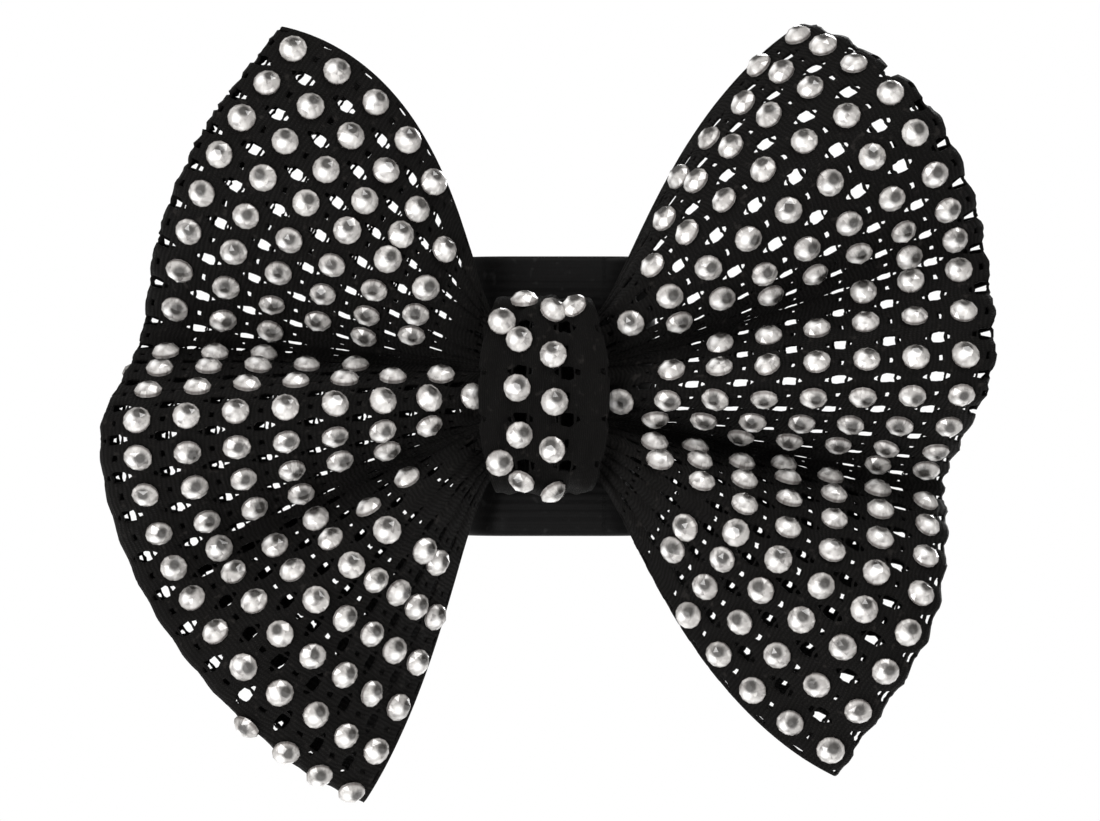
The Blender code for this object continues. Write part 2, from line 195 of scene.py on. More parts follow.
class Wing:
    """One loop's net, where a place is a row number and a crystal column counted from the first
    column in front of the fold. Minus columns go round the fold to the back."""

    def __init__(self, folds, creases, side, edge, slip_across):
        """edge: lines of a row number, the first column's distance from the fold there, in columns,
        and how far the net behind lies off the net in front along the row. slip_across: how far it
        lies off across the rows, lower down."""
        self.folds, self.side = folds, side
        self.crease_at, self.crease_kind = np.array(creases, float).T
        self.edge = np.array(edge).T
        self.slip_across = slip_across
        self.samples = np.linspace(0.5, ROWS + 0.5, 4 * ROWS + 1)
        self.inward = np.sign(np.linspace(-1, 1, 321)) * np.abs(np.linspace(-1, 1, 321)) ** 1.3
        row, inward = np.meshgrid(self.samples, self.inward, indexing="ij")
        points = loop_points(folds, side, self.gathered(row, np.abs(inward)), inward)
        step = np.linalg.norm(np.diff(points, axis=1), axis=2)
        self.length = np.concatenate([np.zeros((len(points), 1)), np.cumsum(step, axis=1)], axis=1)
        self.length -= self.length[:, 160:161]

    def gathered(self, rows, share):
        """The fold table's row for each row of the net. Towards the waist the rows at a crest keep
        their distance and those of the valley crowd together: from crest to valley, one less a
        power of what is left, where the power grows as the net is drawn in."""
        piece = np.clip(np.searchsorted(self.crease_at, rows) - 1, 0, len(self.crease_at) - 2)
        low, high = self.crease_at[piece], self.crease_at[piece + 1]
        kinds = self.crease_kind[piece], self.crease_kind[piece + 1]
        downhill = kinds[0] > kinds[1]
        u = np.where(downhill, rows - low, high - rows) / (high - low)
        power = np.minimum(1 / (1 - 0.87 * share), CREST_SPREAD)
        spread = VALLEY_SHARE * u + (1 - VALLEY_SHARE) * (1 - (1 - u) ** power)
        moved = np.where(downhill, low + (high - low) * spread, high - (high - low) * spread)
        return np.where(kinds[0] * kinds[1] == 0, rows, moved)

    def distance(self, rows, columns):
        """Distance from the fold along the row, plus in front: the pitch times the column, with the
        slip of the net behind eased in just behind the fold."""
        first, slip = (np.interp(rows, self.edge[0], values) for values in self.edge[1:])
        placed = columns + first
        return COLUMN_PITCH * (placed - slip * smooth_step(0.2, -0.1, placed))

    def cut_length(self, rows):
        """The mean length of these rows, from the waist round the fold and back to the waist."""
        chosen = (self.samples >= rows[0]) & (self.samples <= rows[1])
        return float(np.mean(self.length[chosen, -1] - self.length[chosen, 0]))

    def inward_at(self, rows, distance):
        """The place along the row whose length from the fold is distance, read from the lengths at
        the two nearest sampled rows. All rows' lengths stand in one table, each row's far apart from
        the next, so that one look-up serves every place."""
        place = (rows - self.samples[0]) / (self.samples[1] - self.samples[0])
        low = np.clip(np.floor(place).astype(int), 0, len(self.samples) - 2)
        apart = 1000.0
        shelf = (self.length + apart * np.arange(len(self.samples))[:, None]).ravel()
        value = np.tile(self.inward, len(self.samples))
        found = []
        for row in (low, low + 1):
            inside = np.clip(distance, self.length[row, 0], self.length[row, -1])
            found.append(np.interp(inside + apart * row, shelf, value))
        share = place - low
        return found[0] * (1 - share) + found[1] * share

    def surface(self, rows, columns):
        """The net's middle, in millimetres, with its puckers: it dips between crystals as a cosine
        of the row and column, and more at the gathered waist. Lower down, the net behind lies off
        the net in front by slip_across."""
        slip = self.slip_across * smooth_step(16.0, 18.0, rows) * smooth_step(24.45, 24.0, rows)
        inward = self.inward_at(rows, self.distance(rows, columns))
        rows = rows + slip * smooth_step(0.02, 0.2, -inward)
        share = np.abs(inward)
        points = loop_points(self.folds, self.side, self.gathered(rows, share), inward)
        dip = PUCKER * (1 - np.cos(2 * math.pi * rows) * np.cos(2 * math.pi * columns)) / 2
        dip = dip * smooth_step(0.04, 0.16, share)
        furrow = GATHER_FURROW * smooth_step(0.45, 0.9, share)
        dip = dip + furrow * (1 - np.cos(2 * math.pi * rows)) / 2
        points[..., 1] += np.sign(inward) * dip
        return points

    def in_reach(self, rows, columns):
        """Whether the place lies short of the waist."""
        return np.abs(self.inward_at(rows, self.distance(rows, columns))) < 0.999


def mesh_object(name, points, faces, finish, uv=None, smooth=True):
    """A mesh of equal-sided faces from whole arrays, points in millimetres. Corners that no face
    uses are left out. uv holds a pair of numbers for each point."""
    used, index = np.unique(faces, return_inverse=True)
    index = index.reshape(-1)
    sides = faces.shape[1]
    mesh = bpy.data.meshes.new(name)
    mesh.vertices.add(len(used))
    mesh.vertices.foreach_set("co", (points.reshape(-1, 3)[used] * MM).astype(np.float32).ravel())
    mesh.loops.add(len(index))
    mesh.loops.foreach_set("vertex_index", index.astype(np.int32))
    mesh.polygons.add(len(faces))
    mesh.polygons.foreach_set("loop_start", np.arange(0, len(index), sides, dtype=np.int32))
    mesh.polygons.foreach_set("use_smooth", np.full(len(faces), smooth))
    mesh.update(calc_edges=True)
    if uv is not None:
        layer = mesh.uv_layers.new(name="strip")
        layer.data.foreach_set("uv", uv.reshape(-1, 2)[faces.ravel()].astype(np.float32).ravel())
    mesh.validate()
    mesh.materials.append(finish)
    piece = bpy.data.objects.new(name, mesh)
    bpy.context.scene.collection.objects.link(piece)
    return piece


def lattice_lines(shares, first, last):
    """The cell's lines repeated from first to last, which may fall inside a cell. A line that all
    but meets either end is left out."""
    cells = np.arange(math.floor(first), math.ceil(last))
    lines = (cells[:, None] + np.array(shares)).ravel()
    lines = lines[(lines > first + LINE_CLEAR) & (lines < last - LINE_CLEAR)]
    return np.concatenate([[first], lines, [last]])


def net_piece(name, surface, in_reach, rows, columns, finish, seed, cut=(False, False), distance=None):
    """Net between two rows and two columns: a grid of the cell's lines with its holes left out, the
    hole corners rounded in, every corner moved a little at random, and a wall of NET_THICK.
    cut says whether the first and the last row are the strip's own bound edges. distance gives how
    far a place lies from an outer fold, along which a thread closes the holes."""
    row_lines = lattice_lines(CELL_ACROSS, *rows)
    column_lines = lattice_lines(CELL_ALONG, *columns)
    row, column = np.meshgrid(row_lines, column_lines, indexing="ij")
    along, across = column % 1 - 0.5, row % 1 - 0.5
    corner = np.isclose(np.abs(along), HOLE_HALF) & np.isclose(np.abs(across), HOLE_HALF)
    side_tip = np.isclose(np.abs(along), SIDE_TO) & np.isclose(np.abs(across), SIDE_HOLE[1])
    random = np.random.default_rng(seed)
    shift = random.normal(0.0, CELL_JITTER, (2, *row.shape))
    inner = (slice(1, -1), slice(1, -1))
    moved_row, moved_column = row.copy(), column.copy()
    moved_row[inner] += (shift[0] - (CORNER_PULL * corner + SIDE_PULL * side_tip) * across)[inner]
    moved_column[inner] += (shift[1] - CORNER_PULL * corner * along)[inner]
    points = surface(moved_row, moved_column)
    index = np.arange(row.size).reshape(row.shape)
    quads = np.stack([index[:-1, :-1], index[1:, :-1], index[1:, 1:], index[:-1, 1:]], axis=-1)
    mid_row, mid_column = np.meshgrid(
        (row_lines[1:] + row_lines[:-1]) / 2, (column_lines[1:] + column_lines[:-1]) / 2, indexing="ij"
    )
    along, across = np.abs(mid_column % 1 - 0.5), np.abs(mid_row % 1 - 0.5)
    keep = np.ones(along.shape, bool)
    for low, high, near, far in CELL_HOLES:
        keep &= ~((along >= low) & (along < high) & (across >= near) & (across < far))
    if distance is not None:
        keep |= np.abs(distance(mid_row, mid_column)) < FOLD_THREAD
    keep[0] |= cut[0]
    keep[-1] |= cut[1]
    reached = in_reach(row, column)
    keep &= reached[:-1, :-1] | reached[1:, :-1] | reached[1:, 1:] | reached[:-1, 1:]
    piece = mesh_object(name, points, quads[keep], finish, np.stack([column, row], axis=-1))
    wall = piece.modifiers.new("wall", "SOLIDIFY")
    wall.thickness = NET_THICK * MM
    wall.offset = 0.0
    return piece


def add_node(tree, kind, values=(), **settings):
    """Adds a shader node. values maps an input's name or number to a number, colour or socket."""
    node = tree.nodes.new("ShaderNode" + kind)
    for setting, value in settings.items():
        setattr(node, setting, value)
    for socket, value in dict(values).items():
        if isinstance(value, bpy.types.NodeSocket):
            tree.links.new(value, node.inputs[socket])
        else:
            node.inputs[socket].default_value = value
    return node


def maths(tree, operation, *values, clamp=False):
    """The result of a Math node on these numbers or sockets."""
    return add_node(tree, "Math", enumerate(values), operation=operation, use_clamp=clamp).outputs[0]


def mixed(tree, factor, first, second):
    """A colour between two others."""
    node = add_node(tree, "Mix", data_type="RGBA")
    for socket, value in ((0, factor), (6, first), (7, second)):
        if isinstance(value, bpy.types.NodeSocket):
            tree.links.new(value, node.inputs[socket])
        else:
            node.inputs[socket].default_value = value
    return node.outputs[2]


def eased(tree, value, low, high):
    """Eases from 0 to 1 as value goes from low to high."""
    values = {"Value": value, "From Min": low, "From Max": high}
    return add_node(tree, "MapRange", values, interpolation_type="SMOOTHSTEP").outputs[0]


def new_group(name, inputs, outputs):
    """A shader node group with float, vector or colour sockets: its tree, its input and output."""
    tree = bpy.data.node_groups.new(name, "ShaderNodeTree")
    for socket, (kind, value) in inputs.items():
        made = tree.interface.new_socket(socket, in_out="INPUT", socket_type="NodeSocket" + kind)
        if value is not None:
            made.default_value = value
    for socket, kind in outputs.items():
        tree.interface.new_socket(socket, in_out="OUTPUT", socket_type="NodeSocket" + kind)
    return tree, tree.nodes.new("NodeGroupInput"), tree.nodes.new("NodeGroupOutput")


def add_group(tree, group, values):
    """Adds a shader node group. values maps an input's name to a number, colour or socket."""
    node = tree.nodes.new("ShaderNodeGroup")
    node.node_tree = group
    for socket, value in values.items():
        if isinstance(value, bpy.types.NodeSocket):
            tree.links.new(value, node.inputs[socket])
        else:
            node.inputs[socket].default_value = value
    return node


def new_material(name, **constants):
    """A material, its tree and its Principled shader, with constants set on the shader's sockets."""
    material = bpy.data.materials.new(name)
    material.use_nodes = True
    shader = material.node_tree.nodes["Principled BSDF"]
    for socket, value in constants.items():
        shader.inputs[socket.replace("_", " ").title().replace("Ior", "IOR")].default_value = value
    return material, material.node_tree, shader


def knit_group():
    """Fine knitted yarn: slanted stitches in rows of waves, their height, and a mask of the gaps."""
    tree, given, result = new_group(
        "knitted yarn",
        {"Vector": ("Vector", None), "Stitches": ("Float", 9.0)},
        {"Height": "Float", "Gaps": "Float"},
    )
    scaled = add_node(
        tree, "VectorMath", {0: given.outputs["Vector"], 3: given.outputs["Stitches"]}, operation="SCALE"
    ).outputs[0]
    parts = add_node(tree, "SeparateXYZ", {0: scaled})
    along = maths(tree, "FRACT", parts.outputs[0])
    rib = maths(tree, "ABSOLUTE", maths(tree, "SUBTRACT", along, 0.5))
    leaning = maths(tree, "MULTIPLY", rib, 1.2)
    slant = maths(tree, "MULTIPLY_ADD", parts.outputs[1], 1.7, leaning)
    turn = maths(tree, "ABSOLUTE", maths(tree, "SINE", maths(tree, "MULTIPLY", slant, math.pi)))
    round_rib = maths(tree, "SUBTRACT", 1.0, maths(tree, "MULTIPLY", rib, 1.6))
    height = maths(tree, "MULTIPLY", maths(tree, "POWER", turn, 0.6), round_rib)
    tree.links.new(height, result.inputs["Height"])
    tree.links.new(maths(tree, "SUBTRACT", 1.0, height, clamp=True), result.inputs["Gaps"])
    return tree


def lint_group():
    """Faint grey lint and handling marks on black cloth: sparse soft specks over broad clouds."""
    tree, given, result = new_group(
        "lint",
        {"Vector": ("Vector", None), "Speck Size": ("Float", 900.0)},
        {"Clouds": "Float", "Specks": "Float"},
    )
    place, fineness = given.outputs["Vector"], given.outputs["Speck Size"]
    clouds = add_node(tree, "TexNoise", {"Vector": place, "Scale": 70.0, "Detail": 3.0})
    speck = add_node(tree, "TexNoise", {"Vector": place, "Scale": fineness, "Detail": 1.0})
    tree.links.new(clouds.outputs[0], result.inputs["Clouds"])
    tree.links.new(eased(tree, speck.outputs[0], 0.62, 0.78), result.inputs["Specks"])
    return tree


KNIT = knit_group()
LINT = lint_group()


def dusted(tree, lint, amount, cloth, lint_colour):
    """The cloth's colour with lint strewn over it."""
    return mixed(tree, maths(tree, "MULTIPLY", lint.outputs["Specks"], amount), cloth, lint_colour)


def net_material(name, stitches, lift):
    """Matte black knitted yarn: near black in the gaps as painted shade, and a warm dark grey on the
    stitches.
    """
    material, tree, shader = new_material(
        name, roughness=0.7, specular_ior_level=0.06, sheen_weight=0.01, sheen_roughness=0.5
    )
    strip = add_node(tree, "UVMap", uv_map="strip").outputs[0]
    place = add_node(tree, "TexCoord").outputs["Object"]
    knit = add_group(tree, KNIT, {"Vector": strip, "Stitches": stitches})
    lint = add_group(tree, LINT, {"Vector": place})
    # Painted shade: the gaps between stitches are darker and the stitch tops lighter, by the knit's
    # height.
    yarn = mixed(tree, knit.outputs["Height"], (0.0012, 0.0011, 0.0011, 1.0), (*lift, 1.0))
    shade = mixed(tree, lint.outputs["Clouds"], yarn, (0.003, 0.0027, 0.0025, 1.0))
    dusty = dusted(tree, lint, 0.35, shade, (0.03, 0.027, 0.025, 1.0))
    relief = {"Strength": 0.9, "Distance": 0.00012, "Height": knit.outputs["Height"]}
    bump = add_node(tree, "Bump", relief)
    rough = maths(tree, "ADD", 0.5, maths(tree, "MULTIPLY", knit.outputs["Gaps"], 0.35))
    tree.links.new(dusty, shader.inputs["Base Color"])
    tree.links.new(rough, shader.inputs["Roughness"])
    tree.links.new(bump.outputs[0], shader.inputs["Normal"])
    return material


net_finish = net_material("black net", 11.0, (0.009, 0.0083, 0.0078))

# How the net lies at each loop's outer fold: row number, then how far in front of the fold the first
# column of crystals sits, and how far the net behind has slipped along the row, both in columns.
LEFT_EDGE = (
    (1.0, 0.72, 0.5), (9.0, 0.75, 0.5), (12.0, 0.88, 0.0), (17.0, 0.95, 0.0), (20.0, 0.95, 0.0),
    (21.0, 1.10, 0.0), (22.0, 1.24, 0.0), (24.0, 1.24, 0.0),
)
RIGHT_EDGE = (
    (1.0, 0.60, 0.2), (4.0, 0.64, 0.25), (5.0, 0.76, 0.5), (11.0, 0.78, 0.5), (13.0, 0.60, 0.2),
    (24.0, 0.60, 0.2),
)
left_wing = Wing(LEFT_FOLDS, LEFT_CREASES, -1, LEFT_EDGE, 0.45)
right_wing = Wing(RIGHT_FOLDS, RIGHT_CREASES, 1, RIGHT_EDGE, 0.45)


def hang_on_wing(piece):
    """Bakes a piece of a loop's place in the world into its mesh."""
    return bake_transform(piece)


FRONT_AND_BACK = (-10.0, 9.5)
for side_name, wing in (("left", left_wing), ("right", right_wing)):
    halves = (("upper", (0.5, 12.0), (True, False)), ("lower", (12.0, ROWS + 0.5), (False, True)))
    for number, (half, rows, cut) in enumerate(halves):
        net = net_piece(
            f"{side_name}_net_{half}",
            wing.surface,
            wing.in_reach,
            rows,
            FRONT_AND_BACK,
            net_finish,
            seed=11 + number + (2 if wing.side > 0 else 0),
            cut=cut,
            distance=wing.distance,
        )
        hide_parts(f"{side_name}_loop")
        hang_on_wing(net)
        cut_rows = rows[1] - rows[0]
        flat = (cut_rows * ROW_PITCH * MM, wing.cut_length(rows) * MM)

# ---- The crystals of the loops -------------------------------------------------------------------
# Flat-backed clear crystals with silver foil behind, 4 mm across, one at each row and column of the
# net. Where the net is gathered only those on top show, so the buried ones are left out.

CRYSTAL = 4.0
CRYSTAL_HEIGHT = 1.45
CRYSTAL_SIDES = 12
CRYSTAL_TILT = 0.07
CRYSTAL_SPIN = 0.35
CRYSTAL_CLEAR = 3.4  # middles nearer than this can't both show
FOLD_CLEAR = 0.32  # none sits nearer behind the fold than this, in columns: the fold is too tight
EDGE_ROOM = 2.1  # a crystal nearer than this to the strip's own edge would hang over it
CRYSTAL_ROOM = 3.1  # a crystal with less net than this above and below it is buried in a crease
FRONT_CLEAR = 0.1  # none sits nearer in front of the fold than this, in columns
ROWS_ON_FOLD = 20.5  # below this row they are set right over the fold
NEAR_WAIST = 0.93  # share of the way to the waist past which none is set


def crystal_shape():
    """One crystal, its flat back on the XY plane: rings of CRYSTAL_SIDES corners for the back, the
    girdle and the crown, and a table of half as many corners."""
    radius = CRYSTAL / 2
    half = CRYSTAL_SIDES // 2
    rings = (
        (CRYSTAL_SIDES, 0.0, radius * 0.97, 0.0),
        (CRYSTAL_SIDES, 0.0, radius, 0.32 * CRYSTAL_HEIGHT),
        (half, 0.5, radius * 0.74, 0.78 * CRYSTAL_HEIGHT),
        (half, 0.0, radius * 0.42, CRYSTAL_HEIGHT),
    )
    points = []
    for count, twist, wide, high in rings:
        turn = 2 * math.pi * (np.arange(count) + twist) / count
        points.append(np.stack([wide * np.cos(turn), wide * np.sin(turn), np.full(count, high)], axis=-1))
    points = np.concatenate([*points, [[0.0, 0.0, 0.0], [0.0, 0.0, CRYSTAL_HEIGHT]]])
    back, girdle, crown, table = 0, CRYSTAL_SIDES, 2 * CRYSTAL_SIDES, 2 * CRYSTAL_SIDES + half
    middle, top = len(points) - 2, len(points) - 1
    k = np.arange(CRYSTAL_SIDES)
    after = (k + 1) % CRYSTAL_SIDES
    h = np.arange(half)
    h_after = (h + 1) % half
    faces = [
        np.stack([np.full(CRYSTAL_SIDES, middle), back + after, back + k], axis=-1),
        np.stack([back + k, back + after, girdle + after], axis=-1),
        np.stack([back + k, girdle + after, girdle + k], axis=-1),
        np.stack([girdle + 2 * h, girdle + 2 * h + 1, crown + h], axis=-1),
        np.stack([girdle + 2 * h + 1, girdle + 2 * h_after, crown + h], axis=-1),
        np.stack([girdle + 2 * h_after, crown + h_after, crown + h], axis=-1),
        np.stack([crown + h, crown + h_after, table + h_after], axis=-1),
        np.stack([table + h, crown + h, table + h_after], axis=-1),
        np.stack([np.full(half, top), table + h, table + h_after], axis=-1),
    ]
    return points, np.concatenate(faces)


def set_crystals(name, places, outward, finish, seed):
    """Crystals on a surface, one at each place, looking outward, with up kept up: each is tilted,
    turned and sized a little differently."""
    random = np.random.default_rng(seed)
    outward = outward + random.normal(0.0, CRYSTAL_TILT, outward.shape)
    outward = outward / np.linalg.norm(outward, axis=1, keepdims=True)
    up = np.array([0.0, 0.0, 1.0]) - outward[:, 2:] * outward
    up = up / np.linalg.norm(up, axis=1, keepdims=True)
    right = np.cross(up, outward)
    spin = random.normal(0.0, CRYSTAL_SPIN, (len(places), 1))
    right, up = (
        right * np.cos(spin) + up * np.sin(spin),
        up * np.cos(spin) - right * np.sin(spin),
    )
    shape, faces = crystal_shape()
    size = random.normal(1.0, 0.015, (len(places), 1, 1))
    frames = np.stack([right, up, outward], axis=1)
    points = places[:, None] + size * (shape @ frames)
    faces = (faces[None] + len(shape) * np.arange(len(places))[:, None, None]).reshape(-1, 3)
    paint = np.tile(shape[:, :2] / (CRYSTAL / 2), (len(places), 1))
    piece = mesh_object(name, points.reshape(-1, 3), faces, finish, paint, smooth=False)
    tone = np.repeat(random.random(len(places)), len(shape))
    piece.data.attributes.new("tone", "FLOAT", "POINT").data.foreach_set("value", tone.astype(np.float32))
    return piece


def crystal_material():
    """Clear crystal over foil, its light all painted in: three rings of facets, each of its own shade as
    a painted reflection, under soft clouds of painted reflection, a painted highlight on the left, a
    painted glint at the bottom, a painted dark spot above the middle where the table looks into the
    shade, and a warm dark line of painted shade at the rim."""
    material, tree, shader = new_material(
        "foiled crystal", metallic=0.15, ior=1.55, coat_weight=0.5, coat_roughness=0.04
    )
    paint = add_node(tree, "UVMap", uv_map="strip").outputs[0]
    tone = add_node(tree, "Attribute", attribute_name="tone").outputs["Fac"]
    flat = add_node(tree, "SeparateXYZ", {0: paint})
    radius = add_node(tree, "VectorMath", {0: paint}, operation="LENGTH").outputs["Value"]
    turn = maths(tree, "ARCTAN2", flat.outputs[1], flat.outputs[0])
    # Each facet's grey is a painted reflection of the foil behind it.
    facet_reflections = []
    for count, start in ((8.0, 0.0), (6.0, 5.0), (14.0, 11.0)):
        facet = maths(tree, "FLOOR", maths(tree, "MULTIPLY", turn, count / (2 * math.pi)))
        seed = maths(tree, "ADD", facet, maths(tree, "MULTIPLY_ADD", tone, 97.0, start))
        noise = add_node(tree, "TexWhiteNoise", {"W": seed}, noise_dimensions="1D")
        facet_reflections.append(noise.outputs["Value"])
    crown = mixed(tree, facet_reflections[0], (0.20, 0.19, 0.185, 1.0), (0.58, 0.56, 0.54, 1.0))
    inner = mixed(tree, facet_reflections[1], (0.16, 0.15, 0.145, 1.0), (0.66, 0.64, 0.62, 1.0))
    girdle = mixed(tree, facet_reflections[2], (0.22, 0.21, 0.20, 1.0), (0.70, 0.68, 0.66, 1.0))
    facets = mixed(tree, eased(tree, radius, 0.44, 0.50), inner, crown)
    facets = mixed(tree, eased(tree, radius, 0.76, 0.82), facets, girdle)
    # Soft clouds of painted reflection grey over the facets; the same clouds also vary the roughness.
    cloudy = {"Vector": paint, "W": tone, "Scale": 2.6}
    cloud = add_node(tree, "TexNoise", cloudy, noise_dimensions="4D").outputs[0]
    facets = mixed(tree, eased(tree, cloud, 0.42, 0.62), facets, (0.40, 0.385, 0.37, 1.0))
    # A painted highlight, near white, left of each crystal's middle.
    highlight_place = add_node(tree, "VectorMath", {0: paint, 1: (-0.36, -0.16, 0.0)}, operation="DISTANCE")
    painted_highlight = eased(tree, highlight_place.outputs["Value"], 0.52, 0.08)
    facets = mixed(tree, maths(tree, "MULTIPLY", painted_highlight, 0.9), facets, (1.0, 0.99, 0.98, 1.0))
    # A painted glint, pale grey, at the bottom of each crystal.
    glint_place = add_node(tree, "VectorMath", {0: paint, 1: (0.10, -0.72, 0.0)}, operation="DISTANCE")
    low = eased(tree, glint_place.outputs["Value"], 0.40, 0.10)
    facets = mixed(tree, maths(tree, "MULTIPLY", low, 0.45), facets, (0.90, 0.88, 0.86, 1.0))
    # A painted dark spot of reflected shade above each crystal's middle.
    shade_spot_place = add_node(tree, "VectorMath", {0: paint, 1: (0.14, 0.36, 0.0)}, operation="DISTANCE")
    shade_spot_edge = maths(tree, "MULTIPLY_ADD", facet_reflections[1], 0.16, 0.40)
    painted_shade_spot = eased(tree, maths(tree, "DIVIDE", shade_spot_place.outputs["Value"], shade_spot_edge), 1.25, 0.55)
    facets = mixed(tree, maths(tree, "MULTIPLY", painted_shade_spot, 0.92), facets, (0.02, 0.018, 0.016, 1.0))
    # Painted shade, warm and dark, in a thin line at each crystal's rim.
    painted_rim_shade = eased(tree, radius, 0.88, 0.99)
    facets = mixed(tree, maths(tree, "MULTIPLY", painted_rim_shade, 0.6), facets, (0.08, 0.06, 0.055, 1.0))
    tree.links.new(facets, shader.inputs["Base Color"])
    rough = maths(tree, "MULTIPLY_ADD", cloud, 0.2, 0.08)
    tree.links.new(rough, shader.inputs["Roughness"])
    return material


crystal_finish = crystal_material()


def facing(surface, row, column, away):
    """The outward direction at places on a surface: the cross of its two slopes, turned to agree
    with away."""
    step = 0.12
    down = surface(row + step, column) - surface(row - step, column)
    over = surface(row, column + step) - surface(row, column - step)
    out = np.cross(down, over)
    out = out / np.linalg.norm(out, axis=-1, keepdims=True)
    agree = np.sign(np.sum(out * away, axis=-1, keepdims=True))
    return out * np.where(agree == 0, 1.0, agree)


def shown(places, depth, clear):
    """Which crystals show where the net is bunched: from the frontmost on, each is kept if its
    middle is clear of every crystal kept so far."""
    kept = []
    for k in np.argsort(depth)[: np.isfinite(depth).sum()]:
        if not kept or np.linalg.norm(places[kept] - places[k], axis=1).min() > clear:
            kept.append(k)
    return np.array(kept)


for side_name, wing in (("left", left_wing), ("right", right_wing)):
    row, column = np.meshgrid(np.arange(1.0, ROWS + 1), np.arange(-10.0, 10.0), indexing="ij")
    row, column = row.ravel(), column.ravel()
    from_fold = wing.distance(row, column) / COLUMN_PITCH
    inward = wing.inward_at(row, wing.distance(row, column))
    off_fold = (from_fold > FRONT_CLEAR) | (from_fold < -FOLD_CLEAR) | (row > ROWS_ON_FOLD)
    inside = (np.abs(inward) < NEAR_WAIST) & off_fold
    row, column, inward = row[inside], column[inside], inward[inside]
    middle = wing.surface(row, column)
    sideways = wing.side * smooth_step(0.1, 0.0, np.abs(inward))
    away = np.stack([sideways, -np.sign(inward), 0 * row], axis=-1)
    outward = facing(wing.surface, row, column, away)
    room = np.linalg.norm(wing.surface(row + 0.45, column) - wing.surface(row - 0.45, column), axis=1)
    edge_row = np.where(row < ROWS / 2, 0.5, ROWS + 0.5)
    from_edge = np.linalg.norm(wing.surface(edge_row, column) - middle, axis=1)
    buried = (room < CRYSTAL_ROOM) | (from_edge < EDGE_ROOM)
    depth = np.sign(inward) * middle[:, 1] + np.where(buried, np.inf, 0.0)
    kept = shown(middle, depth, CRYSTAL_CLEAR)
    places = middle[kept] + outward[kept] * NET_THICK / 2
    name = f"{side_name}_crystals"
    crystals = set_crystals(name, places, outward[kept], crystal_finish, seed=5 + wing.side)
    hang_on_wing(crystals)

# ---- The gather and its thread -------------------------------------------------------------------
# Inside the wrap the two loops' net runs together, bunched into a bar of furrows, and three turns of
# black polyester thread bind it.

GATHER_HALF = (2.6, 4.5, 10.9)  # half its width, depth and height
GATHER_FOLDS = 36
GATHER_FOLD = 0.035  # how deep its furrows are, as a share of its size
GATHER_SIDES = 144
GATHER_STATIONS = 15
WRAP_SQUARENESS = 2.6


def superellipse(half_depth, half_height, angle):
    """The outline round the waist: angle 0 is the front, and a quarter turn is the top."""
    power = 2 / WRAP_SQUARENESS
    c, s = np.cos(angle), np.sin(angle)
    y = -half_depth * np.sign(c) * np.abs(c) ** power
    z = half_height * np.sign(s) * np.abs(s) ** power
    return y, z


def closed_grid_faces(around, along):
    """Quads of a grid that closes on itself in its first direction."""
    index = np.arange(around * along).reshape(around, along)
    after = np.roll(index, -1, axis=0)
    return np.stack([index[:, :-1], after[:, :-1], after[:, 1:], index[:, 1:]], axis=-1).reshape(-1, 4)


def gathered_bar():
    """The bar: the outline round the waist, swept along X, with furrows as a cosine of the angle
    that deepen in the middle, and drawn to a point inside each end to close it."""
    angle = np.linspace(0.0, 2 * math.pi, GATHER_SIDES, endpoint=False)[:, None]
    along = np.concatenate([[-1.0], np.linspace(-1.0, 1.0, GATHER_STATIONS), [1.0]])[None, :]
    deeper = GATHER_FOLD * (1 - 0.4 * along**2)
    furrow = 1 - deeper * (1 + np.cos(GATHER_FOLDS * angle + 2.0 * along))
    furrow[:, [0, -1]] *= 0.02
    y, z = superellipse(GATHER_HALF[1], GATHER_HALF[2], angle)
    x = WAIST_X + GATHER_HALF[0] * along + 0 * angle
    points = np.stack([x, BOW_MID_Y + y * furrow, z * furrow], axis=-1)
    place = np.stack([8 * along + 0 * angle, 4 * angle + 0 * along], axis=-1)
    return points, closed_grid_faces(GATHER_SIDES, GATHER_STATIONS + 2), place


points, faces, place = gathered_bar()
gather = mesh_object("gathered_net", points, faces[:, ::-1], net_finish, place)
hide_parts("waist_gather")
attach(gather, "waist")


def thread_material():
    """Black polyester thread, two plies twisted together: slanted waves across it, their grooves darker
    as painted shade.
    """
    material, tree, shader = new_material("black thread", roughness=0.5, specular_ior_level=0.3)
    place = add_node(tree, "TexCoord").outputs["Object"]
    twist = add_node(
        tree,
        "TexWave",
        {"Vector": place, "Scale": 600.0, "Distortion": 1.0, "Detail": 1.0},
        bands_direction="DIAGONAL",
    ).outputs[1]
    lint = add_group(tree, LINT, {"Vector": place, "Speck Size": 1500.0})
    # Painted shade: darker in the grooves between plies, lighter on the ridges.
    ply = mixed(tree, twist, (0.006, 0.006, 0.006, 1.0), (0.035, 0.034, 0.034, 1.0))
    dusty = dusted(tree, lint, 0.3, ply, (0.08, 0.078, 0.075, 1.0))
    bump = add_node(tree, "Bump", {"Strength": 0.8, "Distance": 0.00008, "Height": twist})
    tree.links.new(dusty, shader.inputs["Base Color"])
    tree.links.new(bump.outputs[0], shader.inputs["Normal"])
    tree.links.new(maths(tree, "MULTIPLY_ADD", twist, -0.2, 0.62), shader.inputs["Roughness"])
    return material


thread_finish = thread_material()
# The binding, stitches and tacks are shown as they are in the frame.
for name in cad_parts:
    if "thread" in name or "stitch" in name or "tack" in name:
        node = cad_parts[name]
        for slot in node.material_slots:
            slot.material = thread_finish

# ---- The centre wrap -----------------------------------------------------------------------------
# A narrow band of the same net and crystals, drawn tight round the waist over the gather, so that
# it creases and pulls in at the top and bottom. Its ends meet behind, against the cuff.

